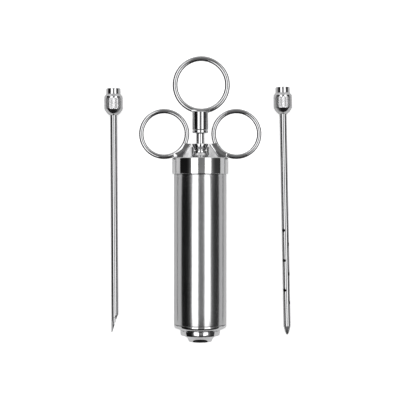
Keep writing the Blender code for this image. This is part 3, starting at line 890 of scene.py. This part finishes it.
def make_floor():
    """White paper with a painted glow: emission makes it overexposed round the set and greyer further out."""
    deselect_all()
    bpy.ops.mesh.primitive_plane_add(size=8.0, location=(0.0, 0.0, -0.0001))
    floor = bpy.context.object
    floor.name = "white_paper"
    material, tree, shader = new_material("white_paper_lit")
    shader.inputs["Base Color"].default_value = srgb("#F2F2F2")
    shader.inputs["Roughness"].default_value = 0.9
    shader.inputs["Specular IOR Level"].default_value = 0.1
    coordinates = add_node(tree, "ShaderNodeTexCoord")
    distance = add_node(tree, "ShaderNodeVectorMath", {"operation": "LENGTH"}, {
        0: coordinates.outputs["Object"],
    })
    # Painted light: the emission glow fades from the set outwards.
    glow = add_node(tree, "ShaderNodeMapRange", {"interpolation_type": "SMOOTHSTEP"}, {
        "Value": distance.outputs["Value"],
        "From Min": 0.18, "From Max": 0.6, "To Min": 0.62, "To Max": 0.2,
    })
    path = add_node(tree, "ShaderNodeLightPath")
    # Painted light: the emission glow shows in full to the camera, but only faintly to the steel, which
    # mirrors the paper's real lamp-lit shade.
    seen = add_node(tree, "ShaderNodeMix", {"data_type": "FLOAT"}, {
        0: path.outputs["Is Camera Ray"], 2: 0.1, 3: glow.outputs["Result"],
    })
    shader.inputs["Emission Color"].default_value = (1.0, 1.0, 1.0, 1.0)
    tree.links.new(seen.outputs[0], shader.inputs["Emission Strength"])
    floor.data.materials.append(material)


def make_softbox(name, across):
    """A lit panel over the table, between two angles across it in degrees."""
    height = 0.9
    front = -0.45
    back = 0.6
    radiance = 2.5
    low, high = (height * math.tan(math.radians(angle)) for angle in across)
    light = bpy.data.lights.new(name, "AREA")
    light.shape = "RECTANGLE"
    light.size = high - low
    light.size_y = back - front
    light.energy = radiance * math.pi * light.size * light.size_y
    panel = bpy.data.objects.new(name, light)
    panel.location = ((low + high) / 2, (front + back) / 2, height)
    panel.visible_camera = False
    bpy.context.collection.objects.link(panel)


def shade_along(tree, value, stops):
    """A grey that changes with a direction's component from -1 to 1."""
    place = add_node(tree, "ShaderNodeMapRange", None, {"Value": value, "From Min": -1.0, "From Max": 1.0})
    ramp = add_node(tree, "ShaderNodeValToRGB", None, {"Fac": place.outputs["Result"]})
    elements = ramp.color_ramp.elements
    while len(elements) < len(stops):
        elements.new(0.5)
    for element, (component, shade) in zip(elements, stops):
        element.position = (component + 1.0) / 2
        element.color = (shade, shade, shade, 1.0)
    return ramp.outputs["Color"]


def make_studio_world():
    """A dim studio to reflect: grey overhead, dark to the sides and in front, bright low behind."""
    world = bpy.data.worlds.new("studio")
    bpy.context.scene.world = world
    world.use_nodes = True
    tree = world.node_tree
    background = tree.nodes["Background"]
    path = add_node(tree, "ShaderNodeLightPath")
    coordinates = add_node(tree, "ShaderNodeTexCoord")
    split = add_node(tree, "ShaderNodeSeparateXYZ", None, {0: coordinates.outputs["Generated"]})
    across = shade_along(tree, split.outputs["X"], (
        (-0.82, 0.012), (-0.7, 0.06), (-0.57, 0.55), (-0.3, 0.3), (0.0, 0.26), (0.3, 0.3),
        (0.68, 0.55), (0.8, 0.16), (0.9, 0.055),
    ))
    along = shade_along(tree, split.outputs["Y"], (
        (-0.6, 0.08), (-0.4, 0.25), (-0.24, 1.3), (0.0, 1.05), (0.3, 1.0), (0.6, 1.3), (0.85, 3.0),
    ))
    room = add_node(tree, "ShaderNodeMix", {"data_type": "RGBA", "blend_type": "MULTIPLY"}, {
        0: 1.0, 6: across, 7: along,
    })
    seen = add_node(tree, "ShaderNodeMix", {"data_type": "RGBA"}, {
        0: path.outputs["Is Camera Ray"], 6: room.outputs[2], 7: (0.92, 0.92, 0.92, 1.0),
    })
    tree.links.new(seen.outputs[2], background.inputs["Color"])


def make_camera():
    """Straight over the set, with +Y up the picture."""
    aim_height = 77.3
    distance = 0.687
    target = SYRINGE @ Vector((-0.15 * MM, 0.0, aim_height * MM))
    camera_data = bpy.data.cameras.new("overhead")
    camera_data.lens = 102.0
    camera_data.sensor_width = 36.0
    camera_data.clip_start = 0.01
    camera = bpy.data.objects.new("overhead", camera_data)
    camera.location = target + Vector((0.0, 0.0, distance))
    bpy.context.collection.objects.link(camera)
    bpy.context.scene.camera = camera
    bpy.context.scene.view_settings.view_transform = "Standard"


# ---------------------------------------------------------------- the set

SYRINGE = syringe_place()
LEFT_NEEDLE = needle_place("left_hub_face")
RIGHT_NEEDLE = needle_place("right_hub_face")

mirror_steel = polished_stainless("mirror_polished_stainless", SYRINGE, ("#C6C6C7", "#D0D0D1"), 0.05, 0.05)
# Painted shade: the cast rings and their webs get darker steel colours. These stand for the dark shade their
# edges mirror and dim the lamp highlights on them. The webs' higher haze is their satin finish.
cast_steel_painted_shade = polished_stainless("tumble_polished_cast_stainless_painted_shade", SYRINGE, ("#A4A4A5", "#B0B0B1"), 0.2, 0.07)
web_steel_painted_shade = polished_stainless("as_cast_satin_stainless_painted_shade", SYRINGE, ("#969697", "#A2A2A3"), 0.1, 0.34)
needle_steel = polished_stainless("drawn_needle_stainless", LEFT_NEEDLE, ("#A2A2A3", "#A9A9AA"), 0.015, 0.06)
barrel_steel = brushed_stainless("lengthwise_brushed_stainless", SYRINGE)
point_steel = ground_stainless("wheel_ground_stainless", RIGHT_NEEDLE)
seal_silicone = white_silicone("moulded_white_silicone", SYRINGE)
piston_nylon = turned_nylon("turned_white_nylon", SYRINGE)

make_barrel(SYRINGE, barrel_steel)
make_nose(SYRINGE, mirror_steel, seal_silicone)
make_cap(SYRINGE, mirror_steel, seal_silicone, piston_nylon)
make_gland(SYRINGE, mirror_steel, seal_silicone)
make_finger_grip("left", -1, SYRINGE, cast_steel_painted_shade, web_steel_painted_shade)
make_finger_grip("right", 1, SYRINGE, cast_steel_painted_shade, web_steel_painted_shade)
make_plunger_rod(SYRINGE, mirror_steel)
make_thumb_grip(SYRINGE, cast_steel_painted_shade)
make_piston(SYRINGE, mirror_steel, seal_silicone, piston_nylon)
make_bevelled_needle(LEFT_NEEDLE, needle_steel)
make_perforated_needle(RIGHT_NEEDLE, needle_steel, point_steel)

make_floor()
make_softbox("left_softbox", (-35.0, -9.0))
make_softbox("right_softbox", (19.0, 44.0))
make_studio_world()
make_camera()
